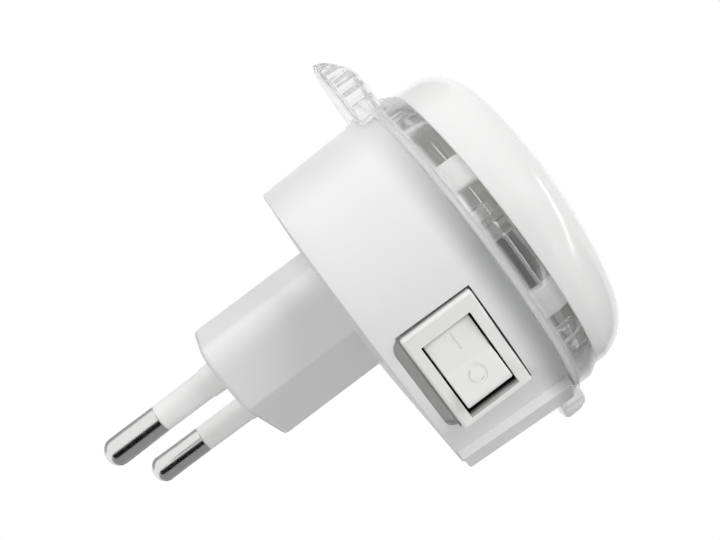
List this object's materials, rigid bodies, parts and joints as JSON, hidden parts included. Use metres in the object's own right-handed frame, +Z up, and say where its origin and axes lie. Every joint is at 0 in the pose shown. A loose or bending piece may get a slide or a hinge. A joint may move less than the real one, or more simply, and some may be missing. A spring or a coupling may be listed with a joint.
{
  "type": "plug-in night light",
  "caption": "White plug-in night light with two round pins, a side rocker switch, a clear petal ring and a white dome.",
  "frame": {"origin": "centre of the plug's end face, midway between the pins where they leave it", "axes": "+Y along the pins into the socket, dome facing -Y, +Z up with two petals on top, +X to the right as seen from the dome"},
  "size_m": [0.0573, 0.0707, 0.0558],
  "materials": {
    "housing_white": "fine satin moulding",
    "pin_metal": "bright nickel plate",
    "sleeve_white": "smooth",
    "clear_plastic": "clear, polished",
    "opal_white": "polished",
    "board": "white solder mask",
    "led_body": "phosphor window",
    "screw_steel": "zinc plate",
    "black_epoxy": "moulded epoxy",
    "resistor_body": "lacquer",
    "film_case": "potted case",
    "can_sleeve": "shrunk sleeve",
    "switch_white": "satin",
    "rocker_white": "satin",
    "plunger_plastic": "plain",
    "spring_steel": "plain",
    "contact_metal": "stamped",
    "lead_cover": "extruded"
  },
  "bodies": {
    "housing": {"rear_housing": "housing_white", "pin_left": "pin_metal", "pin_right": "pin_metal", "sleeve_left": "sleeve_white", "sleeve_right": "sleeve_white", "clear_petal_ring": "clear_plastic", "opal_dome": "opal_white", "led_board": "board", "leds": "led_body", "board_screws": "screw_steel", "bridge_rectifier": "black_epoxy", "resistors": "resistor_body", "film_capacitor": "film_case", "electrolytic_capacitor": "can_sleeve", "switch_housing": "switch_white", "common_terminal": "contact_metal", "switched_terminal": "contact_metal", "lead_pin_switch": "lead_cover", "lead_switch_board": "lead_cover", "lead_pin_board": "lead_cover"},
    "rocker": {"switch_rocker": "rocker_white", "rocker_plunger": "plunger_plastic", "rocker_spring": "spring_steel"},
    "blade": {"contact_blade": "contact_metal"}
  },
  "joints": [
    {"name": "rocker_tilt", "type": "hinge", "parent": "housing", "child": "rocker", "pos_m": [-0.01354, -0.027, -0.0191], "axis": [0, -1, 0], "range_deg": [0, 27]},
    {"name": "blade_swing", "type": "hinge", "parent": "housing", "child": "blade", "pos_m": [-0.01018, -0.027, -0.01574], "axis": [0, -1, 0], "range_deg": [-12, 0]}
  ],
  "couplings": [
    {"joint": "blade_swing", "follows": "rocker_tilt", "ratio": -0.4444}
  ]
}
